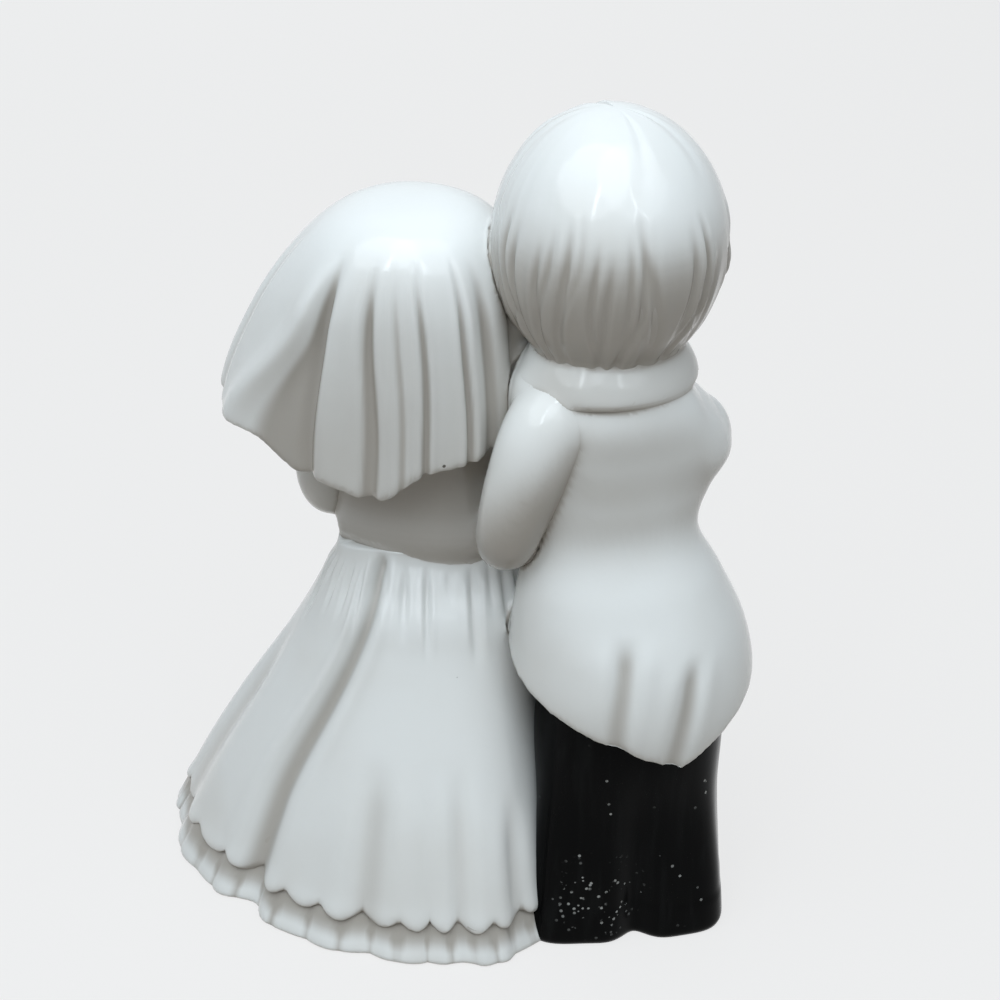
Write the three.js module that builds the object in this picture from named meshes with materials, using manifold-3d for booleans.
// Wedding cake topper: a porcelain bride and groom who stand arm in arm.
// Each figure is built up from separately moulded pieces, luted together with slip before the glaze firing.
// Millimetres, +Z up. The couple face -Y, and the bride stands on the +X side of the groom.
import * as THREE from "three";
import { mergeVertices } from "three/addons/utils/BufferGeometryUtils.js";
import Module from "manifold-3d";

const wasm = await Module();
wasm.setup();

// Seams and walls
const LUTE_GAP = 0.3; // slip line that is left between two neighbouring pieces
const SKIRT_WALL = 2.6;
const VEIL_WALL = 1.6;
const DRAIN_RADIUS = 3.2; // slip drains out of each trouser leg through a round hole in the sole

// Where the two figures stand on the floor, and how far each turns towards the other in degrees
const GROOM_X = -19.6;
const GROOM_Y = 5.5;
const GROOM_TURN = 22;
const BRIDE_X = 6.2;
const BRIDE_Y = 0;
const BRIDE_TURN = -12;

// Groom's heights: the hip above the floor, and then each place above the one named before it
const HIP_HEIGHT = 34;
const TAIL_DROP = 6.5; // tip of the tails below the hip
const FRONT_HEM_RISE = 12; // cut-away front of the coat above the hip
const WAIST_RISE = 20; // above the hip
const SHOULDER_RISE = 12; // above the waist
const NECK_RISE = 7.5; // above the shoulder
const COLLAR_HEIGHT = 5.2;
const CHIN_RISE = 1.8; // underside of the head above the neck's seat

// Groom's half widths (across) and half depths (front to back)
const HIP_HALF_WIDTH = 14.7;
const HIP_HALF_DEPTH = 14.3;
const WAIST_HALF_WIDTH = 8.1;
const WAIST_HALF_DEPTH = 8.6;
const SHOULDER_HALF_WIDTH = 12.2;
const SHOULDER_HALF_DEPTH = 8.7;
const COAT_FILL = 4.1; // how much wider the coat's waist is on the bride's side, to meet her gown
const BACK_HOLLOW = 0.5; // how far the small of the groom's back is drawn in
const BACK_SWELL = 1.3; // how far his shoulders stand out behind
const COLLAR_RADIUS = 9.6;
const COLLAR_THICKNESS = 2.8;
const COLLAR_TAPER = 1.6; // how much narrower the collar is at its top
const GROOM_NECK_RADIUS = 5.4;
const GROOM_HEAD_HALF_WIDTH = 11.6;
const GROOM_HEAD_HALF_DEPTH = 12.2;
const GROOM_HEAD_HALF_HEIGHT = 13.9;
const GROOM_HAIR_THICKNESS = 1.4;
const GROOM_LEAN = 3.6; // sideways shift of the head towards the bride
const GROOM_HEAD_FORWARD = 1.9;
const SHOULDER_TILT = 0.2; // rise of the shoulder line per millimetre towards the bride
const SHOULDER_FORWARD = 0.9;
const TROUSER_HALF_WIDTH = 12;
const TROUSER_HALF_DEPTH = 10.9;
const TROUSER_FILL = 0.6; // how much wider the trousers are on the bride's side, to meet her gown
const LEG_PINCH = 2; // depth of the groove between the legs at the floor
const LEG_CORNERS = [3.4, 2]; // how far the left and the right foot stand out at the outer corner of the back
const SHOE_LENGTH = 7.5; // in front of the trouser leg
const SHOE_HEIGHT = 6.2;
const GROOM_ARM_RADIUS = 4.4;
const GROOM_HAND_RADIUS = 2.7;

// Bride's heights: the hem and the waist above the floor, and then above the waist
const HEM_HEIGHT = 3.9;
const BRIDE_WAIST_HEIGHT = 49.5;
const BUST_RISE = 10;
const BRIDE_SHOULDER_RISE = 15.5;
const BRIDE_NECK_RISE = 19;
const BRIDE_CHIN_DROP = 1.3; // underside of the head below the top of the bodice's neck
const VEIL_LENGTH = 29.6; // from the crown down to the hem at the back
const VEIL_SIDE_RISE = 5.6; // how much higher the veil's hem is at the sides

// Bride's half widths and half depths
const BRIDE_WAIST_HALF_WIDTH = 10.3;
const BRIDE_WAIST_HALF_DEPTH = 8;
const BUST_HALF_WIDTH = 10.6;
const BRIDE_NECK_RADIUS = 4.4;
const BRIDE_HEAD_HALF_WIDTH = 10.4;
const BRIDE_HEAD_HALF_DEPTH = 10.8;
const BRIDE_HEAD_HALF_HEIGHT = 10.8;
const BRIDE_HEAD_FORWARD = 1.4;
const BRIDE_HAIR_THICKNESS = 1.1;
const BRIDE_ARM_RADIUS = 3.2;
const BRIDE_HAND_RADIUS = 2.1;

// The skirt's hem reaches this far from the middle of the waist
const HEM_LEFT = 32.6;
const HEM_RIGHT = 17.2;
const HEM_BACK = 19.2;
const HEM_FRONT = 27.6;
const GOWN_FILL = 2.2; // how much wider the skirt's waist is on the groom's side, to meet his coat
const HEM_SHIFT = -10.5; // the widest place of the hem lies this far in front of the waist
const HEM_FULLNESS = [-0.06, 0.2]; // how much fuller the hem is between left and back, and back and right
const SCALLOPS = 34;
const SCALLOP_RISE = 1.6;
const FRILL_FLARE = 1.6; // the petticoat frill shows this far outside the hem
const FRILL_PLEATS = 36;
const FRILL_PLEAT_DEPTH = 0.4;
const FRILL_WIDTH = 5.6; // from the outer edge to the inner edge of the frill's foot

// The veil's hem reaches this far from the middle of the head
const VEIL_LEFT = 23.4;
const VEIL_RIGHT = 14.2;
const VEIL_BACK = 15;
const VEIL_FACE_OPENING = 5.2; // the veil's front edge lies this far in front of the head's middle
const VEIL_FOLDS = 15;
const VEIL_FOLD_DEPTH = 0.7;

// Posy
const POSY_RADIUS = 6.2;
const POSY_RISE = 4.5; // above the waist
const POSY_REACH = 17.6; // in front of the waist's middle
const POSY_STALK = 4.7; // from the rim of leaves back to the hands
const ROSE_RADIUS = 2.5;
const ROSES_ROUND = 6;

// Details on the groom's chest
const SHIRT_HALF_WIDTH = 4.4;
const SHIRT_HALF_DEPTH = 3;
const SHIRT_HALF_HEIGHT = 8.6;
const LAPEL_WIDTH = 2.7;
const BOW_WING_LENGTH = 2.6;
const BUTTON_RADIUS = 1.1;

// Materials
const porcelain = new THREE.MeshStandardMaterial({ name: "white_glaze", color: 0xe9ecec, roughness: 0.12 });
const blackEnamel = new THREE.MeshStandardMaterial({ name: "black_enamel", color: 0x070707, roughness: 0.1 });
const roseEnamel = new THREE.MeshStandardMaterial({ name: "rose_enamel", color: 0xe8c3c1, roughness: 0.18 });

// Heights above the floor that follow from the sizes
const tailTip = HIP_HEIGHT - TAIL_DROP;
const frontHem = HIP_HEIGHT + FRONT_HEM_RISE;
const waist = HIP_HEIGHT + WAIST_RISE;
const shoulder = waist + SHOULDER_RISE;
const neck = shoulder + NECK_RISE;
const groomHeadMiddle = neck + CHIN_RISE + GROOM_HEAD_HALF_HEIGHT;
const bust = BRIDE_WAIST_HEIGHT + BUST_RISE;
const brideShoulder = BRIDE_WAIST_HEIGHT + BRIDE_SHOULDER_RISE;
const brideNeck = BRIDE_WAIST_HEIGHT + BRIDE_NECK_RISE;
const brideHeadMiddle = brideNeck - BRIDE_CHIN_DROP + BRIDE_HEAD_HALF_HEIGHT;
const veilTop = brideHeadMiddle + BRIDE_HEAD_HALF_HEIGHT + BRIDE_HAIR_THICKNESS + LUTE_GAP + VEIL_WALL;
const veilHemHeight = veilTop - VEIL_LENGTH;

const { lerp, clamp, smoothstep, degToRad, euclideanModulo } = THREE.MathUtils;

// A geometry with shared vertices and positions only
function bare(geometry) {
  geometry.deleteAttribute("normal");
  geometry.deleteAttribute("uv");
  return mergeVertices(geometry);
}

// The closed geometry as a solid, with its skin moved outwards by grow
function solid(geometry, grow = 0) {
  const skin = bare(geometry);
  skin.computeVertexNormals();
  const { position, normal } = skin.attributes;
  const place = new THREE.Vector3();
  const out = new THREE.Vector3();
  for (let i = 0; i < position.count; i++) {
    out.fromBufferAttribute(normal, i);
    place.fromBufferAttribute(position, i).addScaledVector(out, grow);
    position.setXYZ(i, place.x, place.y, place.z);
  }
  const triVerts = new Uint32Array(skin.index.array);
  return new wasm.Manifold(new wasm.Mesh({ numProp: 3, vertProperties: position.array, triVerts }));
}

// Moves every vertex of a geometry to the place that move(vertex) returns
function reshape(geometry, move) {
  const { position } = geometry.attributes;
  const vertex = new THREE.Vector3();
  for (let i = 0; i < position.count; i++) {
    const moved = move(vertex.fromBufferAttribute(position, i));
    position.setXYZ(i, moved.x, moved.y, moved.z);
  }
  return geometry;
}

// A body whose cross-sections are ovals with their own reach to the left, right, back and front.
// Levels run upwards, each { z, x, y, left, right, back, front }. foot(angle) is the height of the lower
// edge, fold(angle, z) moves the skin in or out, full(angle, z) is the share by which the body is fuller
// there, and crowd bunches the rings of vertices towards one end.
// Angle 0 is the left side and a quarter turn is the back.
function loft(levels, options) {
  const { sides, rings, foot = () => levels[0].z, fold = () => 0, full = () => 0 } = options;
  const { crowd = (share) => share } = options;
  const channels = ["x", "y", "left", "right", "back", "front"];
  const values = levels.flatMap((oval) => channels.map((name) => oval[name]));
  const profile = new THREE.CubicInterpolant(levels.map(({ z }) => z), values, channels.length);
  const top = levels.at(-1).z;
  const drum = new THREE.CylinderGeometry(1, 1, 1, sides, rings).rotateX(Math.PI / 2);
  return reshape(drum, ({ x, y, z }) => {
    const angle = Math.atan2(y, x);
    const height = lerp(foot(angle), top, crowd(z + 0.5));
    const [middleX, middleY, left, right, back, front] = profile.evaluate(height);
    const out = Math.hypot(x, y) * fold(angle, height);
    const wide = 1 + full(angle, height);
    return new THREE.Vector3(
      middleX + (x > 0 ? left : right) * wide * x + out * Math.cos(angle),
      middleY + (y > 0 ? back : front) * wide * y + out * Math.sin(angle),
      height,
    );
  });
}

// A level of a body that is alike on both sides, apart from the fill that its left side may have and the
// swell of its back
function level(z, halfWidth, halfDepth, { x = 0, y = 0, front = halfDepth, fill = 0, swell = 0 } = {}) {
  return { z, x, y, left: halfWidth + fill, right: halfWidth, back: halfDepth + swell, front };
}

// An egg-shaped body with the given middle and half sizes
function egg(middle, halfSizes, sides, rings) {
  const ball = new THREE.SphereGeometry(1, sides, rings).rotateX(Math.PI / 2);
  return ball.scale(...halfSizes).translate(...middle);
}

// A limb with round ends along a smooth path. Its radius changes evenly from one of the radii to the next,
// and flatten narrows it along the path's binormal.
function limb(points, radii, { sides = 10, rings = 10, flatten = 1 } = {}) {
  const path = new THREE.CatmullRomCurve3(points.map((point) => new THREE.Vector3(...point)));
  const frames = path.computeFrenetFrames(rings);
  const length = path.getLength();
  const tube = new THREE.CylinderGeometry(1, 1, 1, sides, rings).rotateX(Math.PI / 2);
  return reshape(tube, ({ x, y, z }) => {
    const along = z + 0.5;
    const step = Math.round(along * rings);
    const slot = Math.min(Math.floor(along * (radii.length - 1)), radii.length - 2);
    const radius = lerp(radii[slot], radii[slot + 1], along * (radii.length - 1) - slot);
    const toEnd = Math.min(along, 1 - along) * length;
    const roundness = toEnd < radius ? Math.sqrt(1 - (1 - toEnd / radius) ** 2) : 1;
    const reach = radius * Math.max(roundness, 0.3);
    return path
      .getPointAt(along)
      .addScaledVector(frames.normals[step], x * reach)
      .addScaledVector(frames.binormals[step], y * reach * flatten);
  });
}

// A smooth groove of unit depth at an angle, both angles and the half width in degrees
function groove(angle, at, halfWidth) {
  const away = euclideanModulo(angle - degToRad(at) + Math.PI, 2 * Math.PI) - Math.PI;
  return -Math.exp(-((away / degToRad(halfWidth)) ** 2));
}

// Groups of the two figures and of the skirt, which hangs square to the floor
const groom = new THREE.Group();
groom.position.set(GROOM_X, GROOM_Y, 0);
groom.rotation.z = degToRad(GROOM_TURN);
const bride = new THREE.Group();
bride.position.set(BRIDE_X, BRIDE_Y, 0);
bride.rotation.z = degToRad(BRIDE_TURN);
const dress = new THREE.Group();
dress.position.copy(bride.position);
for (const group of [groom, bride, dress]) group.updateMatrix();

// A geometry drawn in a group's frame, as a solid in the frame that all the pieces share
function inGroup(group, geometry, grow) {
  return solid(geometry.applyMatrix4(group.matrix), grow);
}

// Several geometries drawn in a group's frame, joined into one solid
function joined(group, geometries, grow) {
  return wasm.Manifold.union(geometries.map((geometry) => inGroup(group, geometry, grow)));
}

// Groom's sideways lean at a height: none at the hips, all of it at the head
function lean(z) {
  return GROOM_LEAN * smoothstep(z, HIP_HEIGHT, groomHeadMiddle);
}

// Groom: trousers and shoes

function trousers(grow) {
  const [left, right] = LEG_CORNERS;
  const pinch = (angle, z) => {
    const legs = LEG_PINCH * (1.2 * groove(angle, 74, 12) + groove(angle, -90, 14));
    const corners = left * groove(angle, 20, 20) + right * groove(angle, 121, 17);
    return (1 - smoothstep(z, 0, HIP_HEIGHT)) * (legs - corners);
  };
  const seat = loft(
    [
      level(0, TROUSER_HALF_WIDTH + 0.3, TROUSER_HALF_DEPTH + 0.4),
      level(6, TROUSER_HALF_WIDTH, TROUSER_HALF_DEPTH),
      level(tailTip - 10, TROUSER_HALF_WIDTH - 0.7, TROUSER_HALF_DEPTH - 0.7, { fill: TROUSER_FILL }),
      level(tailTip, TROUSER_HALF_WIDTH - 0.6, TROUSER_HALF_DEPTH - 0.2, { fill: TROUSER_FILL }),
      level(frontHem - 4, WAIST_HALF_WIDTH + 1.4, WAIST_HALF_DEPTH + 0.6),
      level(waist - 2, WAIST_HALF_WIDTH - 1, WAIST_HALF_DEPTH - 1.4, { x: lean(waist) }),
    ],
    { sides: 32, rings: 7, fold: pinch },
  );
  return inGroup(groom, seat, grow);
}

const legSpacing = TROUSER_HALF_WIDTH * 0.52; // from the groom's middle to the middle of a leg

function drainedTrousers() {
  const depth = HIP_HEIGHT;
  return [1, -1].reduce((body, side) => {
    const drain = new THREE.CylinderGeometry(DRAIN_RADIUS * 0.8, DRAIN_RADIUS, depth, 14)
      .rotateX(Math.PI / 2)
      .translate(side * legSpacing, 0, depth / 2 - 2);
    return body.subtract(inGroup(groom, drain));
  }, trousers());
}

function shoe(side) {
  const halfWidth = TROUSER_HALF_WIDTH * 0.45;
  const sole = {
    z: 0,
    x: side * legSpacing,
    y: -TROUSER_HALF_DEPTH,
    left: halfWidth,
    right: halfWidth,
    back: 4,
    front: SHOE_LENGTH,
  };
  const welt = { ...sole, z: SHOE_HEIGHT * 0.3, left: halfWidth + 0.3, right: halfWidth + 0.3 };
  const instep = { left: halfWidth * 0.82, right: halfWidth * 0.82, front: SHOE_LENGTH * 0.72 };
  const vamp = { ...sole, ...instep, z: SHOE_HEIGHT * 0.75 };
  const tongue = { ...sole, z: SHOE_HEIGHT, left: 1.6, right: 1.6, back: 1.6, front: 2.4 };
  return (grow) => inGroup(groom, loft([sole, welt, vamp, tongue], { sides: 16, rings: 4 }), grow);
}

// Groom: tailcoat

// Height of the coat's hem: a point at the middle of the back, cut away towards the front
function tailHem(angle) {
  const fromBack = Math.abs(Math.atan2(Math.cos(angle), Math.sin(angle))) / Math.PI;
  return lerp(tailTip, frontHem, fromBack ** 0.9);
}

// Two soft creases that the tails hang in: the place and the half width in degrees, and the depth
const tailCreases = [
  { at: 63, halfWidth: 6, depth: 0.5 },
  { at: 92, halfWidth: 6, depth: 0.5 },
];

function tailCrease(angle, z) {
  const fade = 1 - smoothstep(z, HIP_HEIGHT, HIP_HEIGHT + 7);
  return tailCreases.reduce(
    (sum, { at, halfWidth, depth }) => sum + depth * fade * groove(angle, at, halfWidth),
    0,
  );
}

function tailcoat(grow) {
  const flank = HIP_HEIGHT + 7;
  const breast = shoulder - 6;
  const yoke = neck - 1.6;
  const fill = (share) => share * COAT_FILL;
  const flankSides = { front: HIP_HALF_DEPTH - 2.6, fill: fill(0.46) };
  const tuckSides = { front: WAIST_HALF_DEPTH + 1, fill: fill(1) };
  const waistSides = { x: lean(waist), fill: fill(1), swell: -BACK_HOLLOW };
  const breastSides = { x: lean(breast), fill: fill(0.4) };
  const shoulderSides = { x: lean(shoulder), y: -SHOULDER_FORWARD, swell: BACK_SWELL };
  const coat = loft(
    [
      level(tailTip - 4, HIP_HALF_WIDTH - 2.4, HIP_HALF_DEPTH - 1.6),
      level(tailTip, HIP_HALF_WIDTH - 1.1, HIP_HALF_DEPTH - 0.5),
      level(HIP_HEIGHT, HIP_HALF_WIDTH, HIP_HALF_DEPTH, { fill: fill(0.2) }),
      level(flank, HIP_HALF_WIDTH - 1.3, HIP_HALF_DEPTH - 1.4, flankSides),
      level(waist - 6, WAIST_HALF_WIDTH + 2, WAIST_HALF_DEPTH + 1.8, tuckSides),
      level(waist, WAIST_HALF_WIDTH, WAIST_HALF_DEPTH, waistSides),
      level(breast, SHOULDER_HALF_WIDTH - 2.5, SHOULDER_HALF_DEPTH + 0.3, breastSides),
      level(shoulder, SHOULDER_HALF_WIDTH, SHOULDER_HALF_DEPTH, shoulderSides),
      level(yoke, COLLAR_RADIUS + 0.6, COLLAR_RADIUS - 1.5, { x: lean(neck), y: -1.1 }),
      level(neck, COLLAR_RADIUS - 2, COLLAR_RADIUS - 2.8, { x: lean(neck), y: -1.1 }),
    ],
    { sides: 32, rings: 12, foot: tailHem, fold: tailCrease },
  );
  const tilted = reshape(coat, (place) => {
    const across = place.x - lean(place.z);
    const share = smoothstep(place.z, waist, shoulder) * smoothstep(across ** 2, 30, 80);
    place.z += SHOULDER_TILT * across * share;
    return place;
  });
  return inGroup(groom, tilted, grow);
}

// Groom: head, hair and collar

const groomHeadHalves = [GROOM_HEAD_HALF_WIDTH, GROOM_HEAD_HALF_DEPTH, GROOM_HEAD_HALF_HEIGHT];

function groomHead(grow) {
  const skull = egg([GROOM_LEAN, -GROOM_HEAD_FORWARD, groomHeadMiddle], groomHeadHalves, 18, 11);
  const tip = -GROOM_HEAD_FORWARD - GROOM_HEAD_HALF_DEPTH;
  const nose = egg([GROOM_LEAN, tip, groomHeadMiddle - 2.6], [1.3, 1.4, 1.3], 8, 6);
  const throat = [
    [lean(neck), -GROOM_HEAD_FORWARD, neck - 5],
    [GROOM_LEAN, -GROOM_HEAD_FORWARD, neck + CHIN_RISE + 5],
  ];
  const stem = limb(throat, [GROOM_NECK_RADIUS, GROOM_NECK_RADIUS], { sides: 12, rings: 3 });
  return joined(groom, [skull, nose, stem], grow);
}

function groomHair(grow) {
  const halves = groomHeadHalves.map((half) => half + GROOM_HAIR_THICKNESS);
  const cap = egg([GROOM_LEAN, -GROOM_HEAD_FORWARD + 0.2, groomHeadMiddle], halves, 22, 13);
  const mouth = [GROOM_LEAN, -GROOM_HEAD_FORWARD - GROOM_HEAD_HALF_DEPTH, groomHeadMiddle - 9];
  const face = egg(mouth, [GROOM_HEAD_HALF_WIDTH + 0.6, 10.4, GROOM_HEAD_HALF_HEIGHT + 0.6], 16, 10);
  return inGroup(groom, cap, grow).subtract(inGroup(groom, face));
}

function groomCollar(grow) {
  const inner = COLLAR_RADIUS - COLLAR_THICKNESS;
  const section = [
    [inner, 0],
    [COLLAR_RADIUS - 0.5, 0],
    [COLLAR_RADIUS, 1],
    [COLLAR_RADIUS - COLLAR_TAPER, COLLAR_HEIGHT - 1.2],
    [COLLAR_RADIUS - COLLAR_TAPER - 0.8, COLLAR_HEIGHT],
    [inner - COLLAR_TAPER * 0.5, COLLAR_HEIGHT],
    [inner, 0],
  ].map((point) => new THREE.Vector2(...point));
  const band = new THREE.LatheGeometry(section, 22)
    .rotateX(Math.PI / 2)
    .scale(1, 0.94, 1)
    .translate(lean(neck), -0.8, neck - 0.7);
  const opening = new THREE.BoxGeometry(COLLAR_RADIUS * 0.9, COLLAR_RADIUS, COLLAR_HEIGHT * 3)
    .translate(lean(neck), -COLLAR_RADIUS, neck);
  return inGroup(groom, band, grow).subtract(inGroup(groom, opening));
}

// Groom: arms and hands

// A point of the groom's upper body: shares of the shoulder's half width to the left and half depth to the
// back, and of the way up from the waist to the shoulder
function onTorso([across, back, up]) {
  return [across * SHOULDER_HALF_WIDTH, back * SHOULDER_HALF_DEPTH, waist + up * SHOULDER_RISE];
}

const groomArms = {
  left: {
    path: [
      [0.4, -0.15, 1.3],
      [1, 0.05, 1],
      [1.24, 0.32, 0.6],
      [1.36, 0.34, 0.17],
      [1.06, -0.72, -0.117],
      [0.557, -1.908, -0.05],
    ].map(onTorso),
    shares: [1, 1, 0.94, 0.86, 0.78, 0.7],
    handShift: -0.4,
  },
  right: {
    path: [
      [-0.3, -0.1, 1.15],
      [-0.57, -0.06, 0.9],
      [-0.68, -0.5, 0.55],
      [-0.72, -1.149, 0.217],
      [-0.262, -1.54, 0.133],
    ].map(onTorso),
    shares: [1, 1, 0.95, 0.86, 0.72],
    handShift: 1.6,
  },
};

function groomArm({ path, shares }) {
  const radii = shares.map((share) => share * GROOM_ARM_RADIUS);
  return (grow) => inGroup(groom, limb(path, radii), grow);
}

function groomHand({ path, handShift }) {
  const [x, y, z] = path.at(-1);
  const halves = [GROOM_HAND_RADIUS, GROOM_HAND_RADIUS, GROOM_HAND_RADIUS * 0.9];
  return (grow) => inGroup(groom, egg([x + handShift, y - 1.5, z], halves, 10, 6), grow);
}

// Groom: shirt, lapels, bow tie and buttons on the chest

const chest = -SHOULDER_HALF_DEPTH - SHOULDER_FORWARD; // front of the coat at the breast
const shirtMiddle = shoulder - SHIRT_HALF_HEIGHT * 0.35;

function shirtFront(grow) {
  const middle = [lean(shoulder), chest + SHIRT_HALF_DEPTH * 0.7, shirtMiddle];
  return inGroup(groom, egg(middle, [SHIRT_HALF_WIDTH, SHIRT_HALF_DEPTH, SHIRT_HALF_HEIGHT], 14, 10), grow);
}

function lapel(side) {
  const x = lean(shoulder);
  const path = [
    [x + side * SHIRT_HALF_WIDTH * 1.32, chest + LAPEL_WIDTH * 0.8, neck - LAPEL_WIDTH * 0.15],
    [x + side * SHIRT_HALF_WIDTH * 1.14, chest + LAPEL_WIDTH * 0.2, shirtMiddle],
    [x + side * SHIRT_HALF_WIDTH * 0.32, chest + LAPEL_WIDTH * 0.2, waist],
  ];
  const radii = [LAPEL_WIDTH * 0.7, LAPEL_WIDTH, LAPEL_WIDTH * 0.4];
  return (grow) => inGroup(groom, limb(path, radii, { sides: 8, rings: 7, flatten: 0.6 }), grow);
}

function bowTie(grow) {
  const knot = new THREE.Vector3(lean(neck), chest - 0.5, neck - 0.6);
  const middle = inGroup(groom, egg(knot.toArray(), [1.2, 1.2, 1.2], 8, 6), grow);
  return [1, -1].reduce((bow, side) => {
    const wing = reshape(egg([0, 0, 0], [BOW_WING_LENGTH, 1, 1.9], 10, 6), (place) => {
      place.z *= lerp(0.55, 1, smoothstep(side * place.x, -BOW_WING_LENGTH, BOW_WING_LENGTH));
      place.x += side * BOW_WING_LENGTH * 0.85;
      return place.add(knot);
    });
    return bow.add(inGroup(groom, wing, grow));
  }, middle);
}

function button(row) {
  const z = waist - 1.4 - row * 3.4;
  const y = -WAIST_HALF_DEPTH - 0.5 - row * 0.6;
  return (grow) => inGroup(groom, egg([lean(z), y, z], [BUTTON_RADIUS, 1, BUTTON_RADIUS], 10, 6), grow);
}

// Bride: bodice, arms and hands

// A point of the bride's upper body: shares of the bust's half width to the left and of the waist's half
// depth to the back, and of the way up from the waist to the shoulder
function onBodice([across, back, up]) {
  const z = BRIDE_WAIST_HEIGHT + up * BRIDE_SHOULDER_RISE;
  return [across * BUST_HALF_WIDTH, back * BRIDE_WAIST_HALF_DEPTH, z];
}

function bodice(grow) {
  const torso = loft(
    [
      level(BRIDE_WAIST_HEIGHT - 3.4, BRIDE_WAIST_HALF_WIDTH - 2, BRIDE_WAIST_HALF_DEPTH - 1.8),
      level(BRIDE_WAIST_HEIGHT, BRIDE_WAIST_HALF_WIDTH - 0.3, BRIDE_WAIST_HALF_DEPTH - 0.2),
      level(bust - 5, BRIDE_WAIST_HALF_WIDTH - 0.5, BRIDE_WAIST_HALF_DEPTH - 0.4),
      level(bust, BUST_HALF_WIDTH, BRIDE_WAIST_HALF_DEPTH - 0.4, { front: BRIDE_WAIST_HALF_DEPTH + 1.4 }),
      level(brideShoulder, BUST_HALF_WIDTH - 1, BRIDE_WAIST_HALF_DEPTH - 1.6),
      level(brideNeck - 1.4, BUST_HALF_WIDTH - 4.6, BRIDE_WAIST_HALF_DEPTH - 3),
      level(brideNeck, BRIDE_NECK_RADIUS + 0.4, BRIDE_NECK_RADIUS),
    ],
    { sides: 22, rings: 8 },
  );
  return inGroup(bride, torso, grow);
}

const brideArms = {
  left: {
    path: [
      [0.868, 0.05, 0.935],
      [1.094, 0, 0.6],
      [1.1, -0.25, 0.32],
      [0.83, -1.15, 0.17],
      [0.453, -1.725, 0.2],
    ].map(onBodice),
    handShift: -1,
  },
  right: {
    path: [
      [-0.868, -0.075, 0.935],
      [-1.038, -0.25, 0.574],
      [-1, -0.55, 0.252],
      [-0.623, -1.3, 0.161],
      [-0.264, -1.75, 0.2],
    ].map(onBodice),
    handShift: 1,
  },
};

function brideArm({ path }) {
  const radii = [1.15, 1, 0.86, 0.8, 0.7].map((share) => share * BRIDE_ARM_RADIUS);
  return (grow) => inGroup(bride, limb(path, radii), grow);
}

function brideHand({ path, handShift }) {
  const [x, y, z] = path.at(-1);
  const halves = [BRIDE_HAND_RADIUS, BRIDE_HAND_RADIUS, BRIDE_HAND_RADIUS];
  return (grow) => inGroup(bride, egg([x + handShift, y - 1.2, z], halves, 10, 6), grow);
}

// Bride: skirt and petticoat frill

const skirtHeight = BRIDE_WAIST_HEIGHT - HEM_HEIGHT;

// The skirt's oval at a share of the way up from the hem to the waist, drawn in by inset
function skirtLevel(share, inset = 0) {
  const flare = (1 - share) * (1 + 0.2 * share - 0.45 * share ** 2);
  const reach = (atWaist, atHem) => lerp(atWaist, atHem, flare) - inset;
  const y = HEM_SHIFT * flare;
  return {
    z: HEM_HEIGHT + skirtHeight * share,
    x: 0,
    y,
    left: reach(BRIDE_WAIST_HALF_WIDTH + 0.3, HEM_LEFT),
    right: reach(BRIDE_WAIST_HALF_WIDTH + 0.3 + GOWN_FILL, HEM_RIGHT),
    back: reach(BRIDE_WAIST_HALF_DEPTH + 0.3, HEM_BACK) - y,
    front: reach(BRIDE_WAIST_HALF_DEPTH + 0.3, HEM_FRONT) + y,
  };
}

// The skirt stands fuller at the back towards the groom, and flatter away from him; less so near the waist
function skirtFull(angle, z) {
  const quarter = Math.sin(angle) > 0 ? Math.sin(2 * angle) ** 2 : 0;
  const [left, right] = HEM_FULLNESS;
  const low = 1 - clamp((z - HEM_HEIGHT) / skirtHeight, 0, 1) ** 2;
  return (Math.cos(angle) > 0 ? left : right) * quarter * low;
}

// Long folds: where each meets the hem and its half width in degrees, its depth, and how far up it runs
const skirtFolds = [
  { at: 47, halfWidth: 7, depth: 1.5, rise: 1 },
  { at: 78, halfWidth: 5, depth: 0.9, rise: 0.5 },
  { at: 107, halfWidth: 5, depth: 0.9, rise: 0.5 },
  { at: 127, halfWidth: 4, depth: 0.7, rise: 0.35 },
  { at: 5, halfWidth: 7, depth: 0.9, rise: 0.8 },
  { at: -28, halfWidth: 7, depth: 1.1, rise: 0.7 },
  { at: -58, halfWidth: 7, depth: 1.2, rise: 0.9 },
  { at: -90, halfWidth: 7, depth: 1.1, rise: 0.6 },
  { at: -122, halfWidth: 7, depth: 1.1, rise: 0.9 },
];

function skirtFold(angle, z) {
  const share = (z - HEM_HEIGHT) / skirtHeight;
  return skirtFolds.reduce((sum, { at, halfWidth, depth, rise }) => {
    const fade = 1 - smoothstep(share, rise * 0.5, rise);
    return sum + depth * fade * groove(angle, at, halfWidth);
  }, 0);
}

function scallopedHem(angle) {
  return HEM_HEIGHT + SCALLOP_RISE * (1 - Math.abs(Math.sin((angle * SCALLOPS) / 2)));
}

function skirt(grow) {
  const levels = Array.from({ length: 7 }, (_, i) => skirtLevel(i / 6));
  const shape = { sides: SCALLOPS * 3, rings: 6, foot: scallopedHem, fold: skirtFold, full: skirtFull };
  return inGroup(dress, loft(levels, shape), grow);
}

// The skirt's wall is thicker on the groom's side, where his coat cuts into it
function hollowSkirt() {
  const inside = Array.from({ length: 6 }, (_, i) => {
    const oval = skirtLevel(0.17 * i, SKIRT_WALL);
    return { ...oval, right: oval.right - GOWN_FILL };
  });
  const below = { ...inside[0], z: -1 };
  return skirt().subtract(inGroup(dress, loft([below, ...inside], { sides: 24, rings: 4, full: skirtFull })));
}

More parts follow.
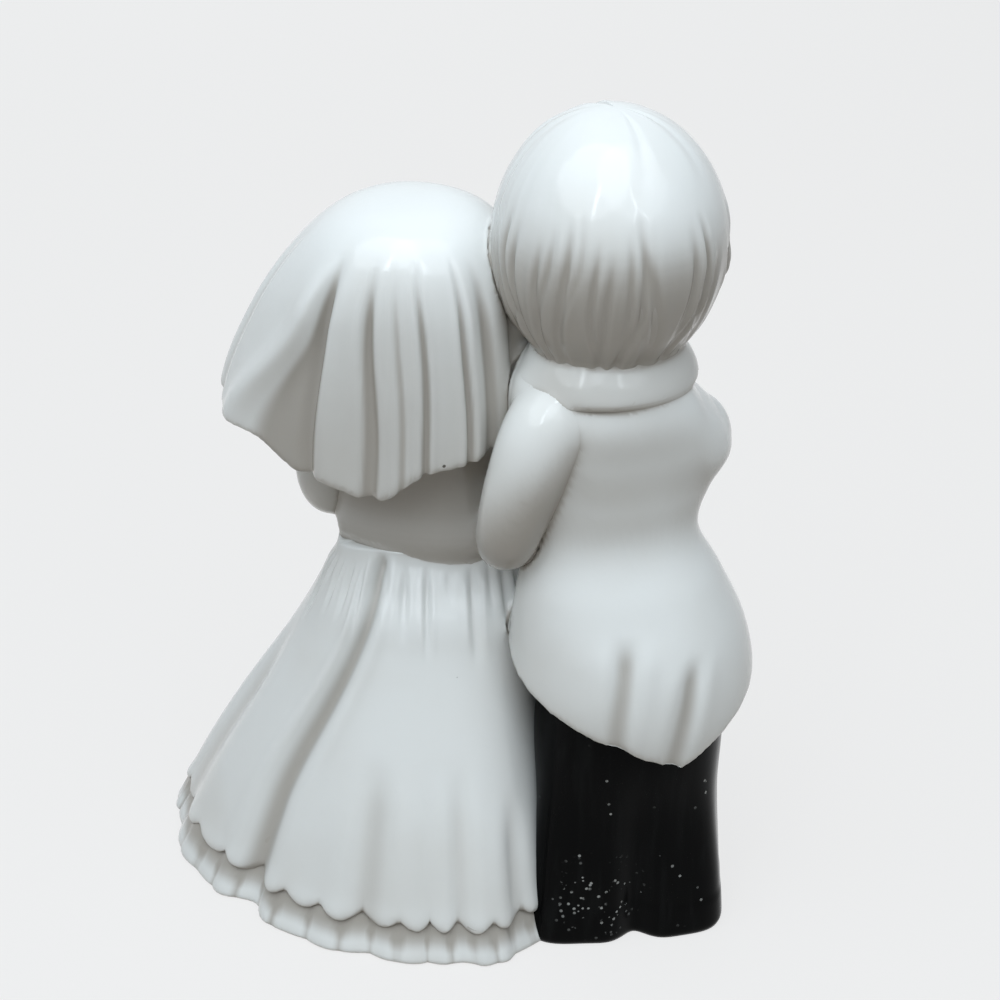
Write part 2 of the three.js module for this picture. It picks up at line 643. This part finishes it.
function petticoat(grow) {
  const rim = skirtLevel(0, -FRILL_FLARE);
  const gather = skirtLevel(0, -FRILL_FLARE * 0.2);
  const outline = [
    { ...rim, z: 0 },
    { ...gather, z: HEM_HEIGHT + SCALLOP_RISE },
  ];
  const pleats = (angle) => FRILL_PLEAT_DEPTH * Math.sin(angle * FRILL_PLEATS);
  const shape = { sides: FRILL_PLEATS * 3, rings: 1, fold: pleats, full: skirtFull };
  const frill = inGroup(dress, loft(outline, shape), grow);
  const bore = skirtLevel(0, FRILL_WIDTH - FRILL_FLARE);
  const bottom = { ...bore, z: -1 };
  const hole = loft([bottom, { ...bore, z: HEM_HEIGHT * 3 }], { sides: 30, rings: 1, full: skirtFull });
  return frill.subtract(inGroup(dress, hole));
}

// Bride: head, hair and veil

const brideHeadHalves = [BRIDE_HEAD_HALF_WIDTH, BRIDE_HEAD_HALF_DEPTH, BRIDE_HEAD_HALF_HEIGHT];

function brideHead(grow) {
  const skull = egg([0, -BRIDE_HEAD_FORWARD, brideHeadMiddle], brideHeadHalves, 16, 11);
  const tip = -BRIDE_HEAD_FORWARD - BRIDE_HEAD_HALF_DEPTH;
  const nose = egg([0, tip, brideHeadMiddle - 2.4], [1, 1.2, 1], 8, 6);
  const throat = [
    [0, 0, brideNeck - 5],
    [0, -BRIDE_HEAD_FORWARD, brideNeck + 4],
  ];
  const radius = BRIDE_NECK_RADIUS - 0.6;
  const stem = limb(throat, [radius, radius], { sides: 12, rings: 3 });
  return joined(bride, [skull, nose, stem], grow);
}

function brideHair(grow) {
  const halves = brideHeadHalves.map((half) => half + BRIDE_HAIR_THICKNESS);
  const cap = egg([0, -BRIDE_HEAD_FORWARD + 0.2, brideHeadMiddle], halves, 18, 11);
  const mouth = [0, -BRIDE_HEAD_FORWARD - BRIDE_HEAD_HALF_DEPTH, brideHeadMiddle - 7];
  const face = egg(mouth, [BRIDE_HEAD_HALF_WIDTH - 0.2, 9.2, BRIDE_HEAD_HALF_HEIGHT + 1.2], 14, 9);
  return inGroup(bride, cap, grow).subtract(inGroup(bride, face));
}

// The veil's ovals, drawn in by inset: a broad dome over the head, which flares out below to the hem
function veilLevels(inset) {
  const crown = veilTop - inset;
  const head = BRIDE_HEAD_HALF_WIDTH + BRIDE_HAIR_THICKNESS + LUTE_GAP + VEIL_WALL;
  const oval = (z, dome) => {
    const drop = smoothstep(z, veilHemHeight - 4, brideHeadMiddle + 8);
    const flare = 1 - drop ** 2.4;
    const wing = 1 - smoothstep(z, veilHemHeight - 4, veilTop) ** 1.6;
    const reach = (hem, share) => Math.max((lerp(head, hem, share) - inset) * dome, 0.5);
    const sides = { left: reach(VEIL_LEFT, wing), right: reach(VEIL_RIGHT, flare) };
    return { z, x: 0.4, y: -1.2, ...sides, back: reach(VEIL_BACK, flare), front: head };
  };
  const hanging = [-3, 0, 6, 12].map((rise) => oval(veilHemHeight + rise, 1));
  const domed = [0, 0.2, 0.4, 0.58, 0.72, 0.84, 0.93, 0.98, 1].map((share) =>
    oval(lerp(brideHeadMiddle, crown, share), (1 - share ** 2.6) ** (1 / 2.6)),
  );
  return [...hanging, ...domed];
}

function veilHem(angle) {
  const dips = 1.5 * groove(angle, 84, 12) + 0.9 * groove(angle, 52, 14) - 1.3 * groove(angle, 110, 14);
  return veilHemHeight + VEIL_SIDE_RISE * Math.abs(Math.cos(angle)) ** 1.6 + dips;
}

function veilFold(angle, z) {
  const fade = 1 - smoothstep(z, veilHemHeight + 4, brideHeadMiddle + 7);
  return VEIL_FOLD_DEPTH * fade * Math.cos(angle * VEIL_FOLDS);
}

function veil(grow) {
  const crowd = (share) => Math.sin((share * Math.PI) / 2);
  const shape = { sides: VEIL_FOLDS * 4, rings: 8, foot: veilHem, fold: veilFold, crowd };
  const outer = inGroup(bride, loft(veilLevels(0), shape), grow);
  const inner = inGroup(bride, loft(veilLevels(VEIL_WALL), { sides: 24, rings: 6, crowd }));
  const size = 4 * VEIL_LEFT;
  const front = new THREE.BoxGeometry(size, size, size)
    .rotateX(-0.06)
    .translate(0, -BRIDE_HEAD_FORWARD - VEIL_FACE_OPENING - size / 2, brideHeadMiddle);
  return outer.subtract(inner).subtract(inGroup(bride, front));
}

// Posy in the bride's hands, drawn upright and leant forwards

const posy = new THREE.Object3D();
posy.position.set(0.8, -POSY_REACH, BRIDE_WAIST_HEIGHT + POSY_RISE);
posy.rotation.x = degToRad(62);
posy.updateMatrix();

function posyLeaves(grow) {
  const cup = loft(
    [
      level(-POSY_STALK, 1.2, 1.2),
      level(-POSY_STALK * 0.5, POSY_RADIUS * 0.6, POSY_RADIUS * 0.6),
      level(0.4, POSY_RADIUS + 1, POSY_RADIUS + 1),
      level(1.2, POSY_RADIUS + 0.8, POSY_RADIUS + 0.8),
    ],
    { sides: 27, rings: 3, fold: (angle, z) => 0.6 * Math.cos(angle * 9) * smoothstep(z, -2, 0.5) },
  );
  return inGroup(bride, cup.applyMatrix4(posy.matrix), grow);
}

function rose(index) {
  const ring = index === 0 ? 0 : POSY_RADIUS - ROSE_RADIUS * 0.55;
  const angle = (2 * Math.PI * index) / ROSES_ROUND;
  const middle = [ring * Math.cos(angle), ring * Math.sin(angle), index === 0 ? 3.1 : 1.7];
  const halves = [ROSE_RADIUS, ROSE_RADIUS, ROSE_RADIUS * 0.85];
  return (grow) => inGroup(bride, egg(middle, halves, 8, 5).applyMatrix4(posy.matrix), grow);
}

// The pieces, in the order in which they are fitted. Each one is trimmed to the slip line of those before it,
// where a hollow piece counts as its outside.
const pieces = [
  { name: "groom_head", group: groom, form: groomHead, material: porcelain },
  { name: "bride_head", group: bride, form: brideHead, material: porcelain },
  { name: "groom_trousers", group: groom, form: drainedTrousers, outside: trousers, material: blackEnamel },
  { name: "groom_left_shoe", group: groom, form: shoe(1), material: blackEnamel },
  { name: "groom_right_shoe", group: groom, form: shoe(-1), material: blackEnamel },
  { name: "groom_tailcoat", group: groom, form: tailcoat, material: porcelain },
  { name: "groom_left_arm", group: groom, form: groomArm(groomArms.left), material: porcelain },
  { name: "groom_right_arm", group: groom, form: groomArm(groomArms.right), material: porcelain },
  { name: "groom_hair", group: groom, form: groomHair, material: porcelain },
  { name: "groom_collar", group: groom, form: groomCollar, material: porcelain },
  { name: "bride_bodice", group: bride, form: bodice, material: porcelain },
  { name: "bride_left_arm", group: bride, form: brideArm(brideArms.left), material: porcelain },
  { name: "bride_right_arm", group: bride, form: brideArm(brideArms.right), material: porcelain },
  { name: "bride_skirt", group: dress, form: hollowSkirt, outside: skirt, material: porcelain },
  { name: "bride_petticoat", group: dress, form: petticoat, material: porcelain },
  { name: "bride_hair", group: bride, form: brideHair, material: porcelain },
  { name: "bride_veil", group: bride, form: veil, material: porcelain },
  { name: "groom_shirt_front", group: groom, form: shirtFront, material: porcelain },
  { name: "groom_left_lapel", group: groom, form: lapel(1), material: porcelain },
  { name: "groom_right_lapel", group: groom, form: lapel(-1), material: porcelain },
  { name: "groom_bow_tie", group: groom, form: bowTie, material: blackEnamel },
  { name: "groom_upper_button", group: groom, form: button(0), material: porcelain },
  { name: "groom_lower_button", group: groom, form: button(1), material: porcelain },
  { name: "groom_left_hand", group: groom, form: groomHand(groomArms.left), material: porcelain },
  { name: "groom_right_hand", group: groom, form: groomHand(groomArms.right), material: porcelain },
  { name: "bride_left_hand", group: bride, form: brideHand(brideArms.left), material: porcelain },
  { name: "bride_right_hand", group: bride, form: brideHand(brideArms.right), material: porcelain },
  { name: "posy_leaves", group: bride, form: posyLeaves, material: porcelain },
];
for (let i = 0; i <= ROSES_ROUND; i++) {
  pieces.push({ name: `posy_rose_${i + 1}`, group: bride, form: rose(i), material: roseEnamel });
}

// The biggest body of a trimmed piece: crumbs that the trimming leaves behind are wiped away
function biggest(trimmed) {
  return trimmed.decompose().reduce((best, body) => (body.volume() > best.volume() ? body : best));
}

// A fitted solid as a geometry in its group's frame
function geometryOf(body, group) {
  const { vertProperties, triVerts } = body.getMesh();
  const geometry = new THREE.BufferGeometry();
  geometry.setAttribute("position", new THREE.BufferAttribute(vertProperties, 3));
  geometry.setIndex(new THREE.BufferAttribute(triVerts, 1));
  return geometry.applyMatrix4(group.matrix.clone().invert());
}

const topper = new THREE.Group();
topper.add(groom, bride, dress);
const fitted = [];
for (const { name, group, form, outside = form, material } of pieces) {
  const body = fitted.reduce((rest, neighbour) => rest.subtract(neighbour), form());
  const mesh = new THREE.Mesh(geometryOf(biggest(body), group), material);
  mesh.name = name;
  group.add(mesh);
  fitted.push(outside(LUTE_GAP));
}

// The origin is the middle of the object's box, on the floor
const box = new THREE.Box3().setFromObject(topper, true);
const middle = box.getCenter(new THREE.Vector3());
topper.position.set(-middle.x, -middle.y, -box.min.z);

export default topper;
